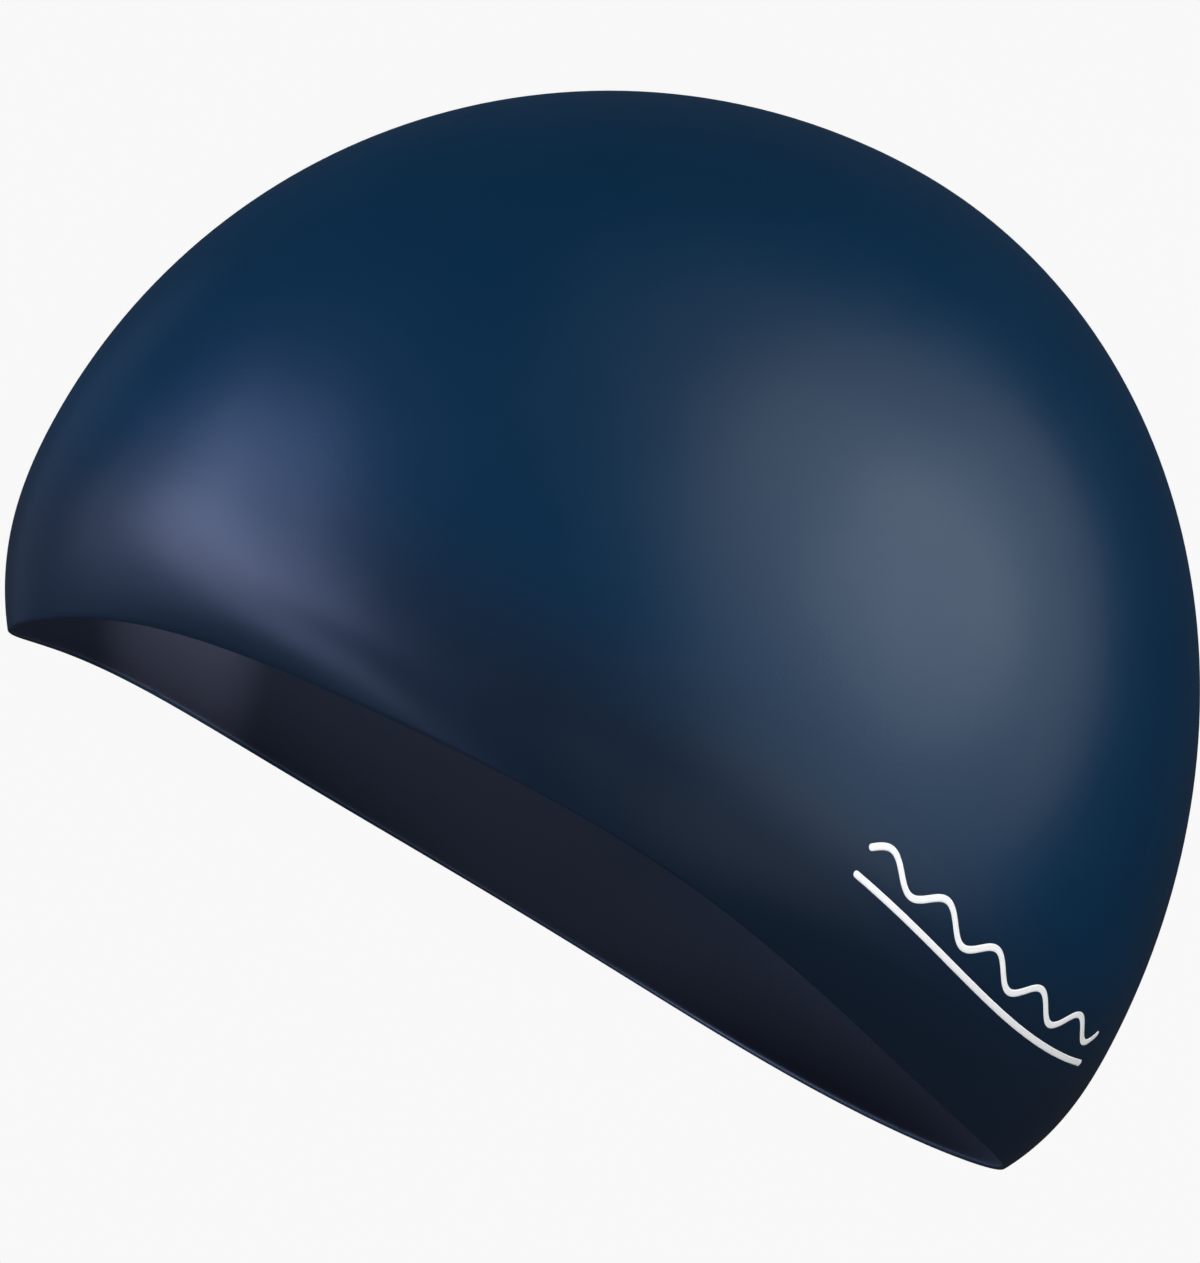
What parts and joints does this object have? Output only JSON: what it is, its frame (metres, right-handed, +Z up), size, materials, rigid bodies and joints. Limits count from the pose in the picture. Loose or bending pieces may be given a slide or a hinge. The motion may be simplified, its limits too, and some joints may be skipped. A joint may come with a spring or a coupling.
{
  "type": "swim cap",
  "caption": "Seamless moulded silicone swim cap, a smooth thin dome with a plain curved rim, in its worn shape.",
  "frame": {"origin": "highest point of the inner face, where the crown of the head touches the skin", "axes": "+Z up on an upright head, -X the way the wearer faces, +X toward the nape, -Y the wearer's left"},
  "size_m": [0.1978, 0.152, 0.1782],
  "materials": {
    "silicone": "smooth satin moulded silicone, deep petrol navy, a little duller inside"
  },
  "bodies": {
    "root": {"cap_shell": "silicone"}
  },
  "joints": []
}
